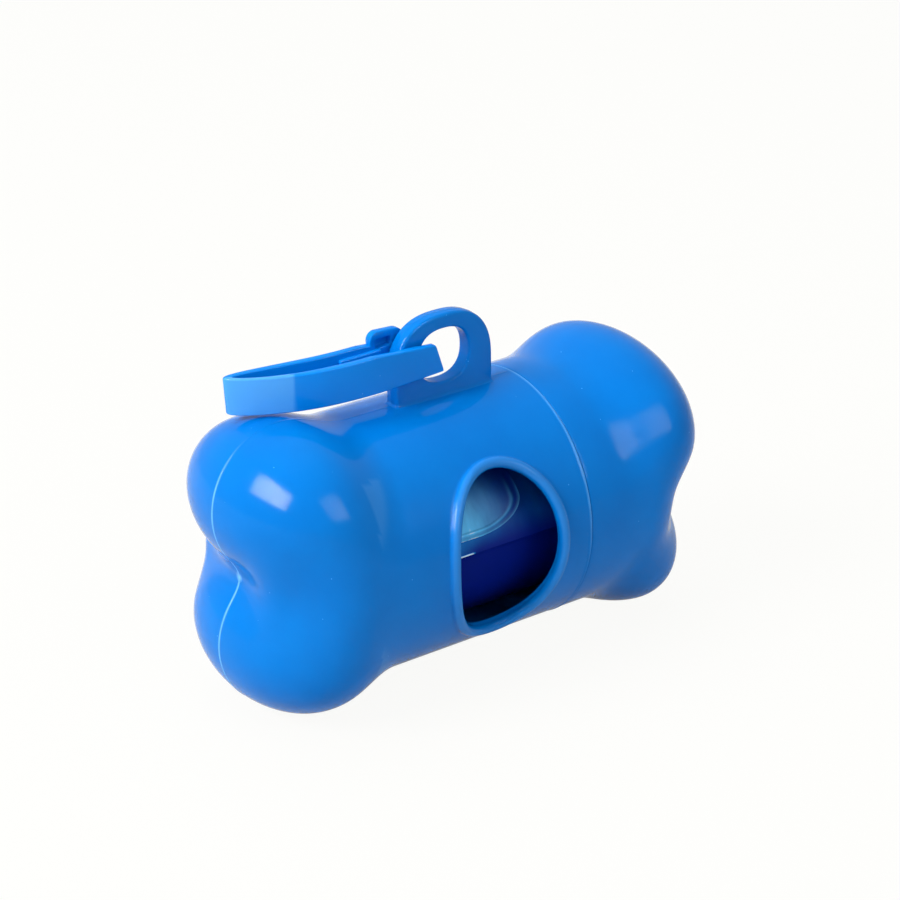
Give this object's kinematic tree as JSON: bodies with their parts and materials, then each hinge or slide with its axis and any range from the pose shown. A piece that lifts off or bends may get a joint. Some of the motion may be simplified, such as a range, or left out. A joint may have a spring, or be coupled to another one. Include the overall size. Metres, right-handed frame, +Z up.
{
  "type": "dog poop bag dispenser",
  "caption": "Bone-shaped blue plastic bag dispenser with a push-on cap, an egg-shaped dispensing hole, a roll of bags inside and a folding strap clip through its eye.",
  "frame": {"origin": "bottom centre of the bounding box, under the lobes that the bone lies on", "axes": "+X along the bone towards the cap, -Y towards the dispensing hole, +Z up towards the eye"},
  "size_m": [0.082, 0.041, 0.0554],
  "materials": {
    "blue_plastic": "glossy blow-moulded polyethylene",
    "blue_strap": "glossy moulded polypropylene",
    "bag_film": "thin film wound in flat layers",
    "core_card": "plain card tube"
  },
  "bodies": {
    "case": {"case_body": "blue_plastic"},
    "cap": {"bone_cap": "blue_plastic"},
    "clip": {"clip_band": "blue_strap"},
    "gate": {"clip_gate": "blue_strap"},
    "roll": {"roll_core": "core_card", "bag_roll": "bag_film", "leading_bag": "bag_film"}
  },
  "joints": [
    {"name": "cap_pull", "type": "slide", "parent": "case", "child": "cap", "axis": [1, 0, 0], "range_m": [0, 0.03]},
    {"name": "roll_spin", "type": "hinge", "parent": "case", "child": "roll", "pos_m": [-0.00026, 0.00024, 0.01984], "axis": [1, 0, 0], "continuous": true},
    {"name": "clip_swing", "type": "hinge", "parent": "case", "child": "clip", "pos_m": [-0.00026, 0.00024, 0.04875], "axis": [0, 1, 0], "range_deg": [0, 170]},
    {"name": "gate_open", "type": "hinge", "parent": "clip", "child": "gate", "pos_m": [-0.0336, 0.00707, 0.04677], "axis": [0.0593, 0, -0.9982], "range_deg": [0, 25]}
  ]
}
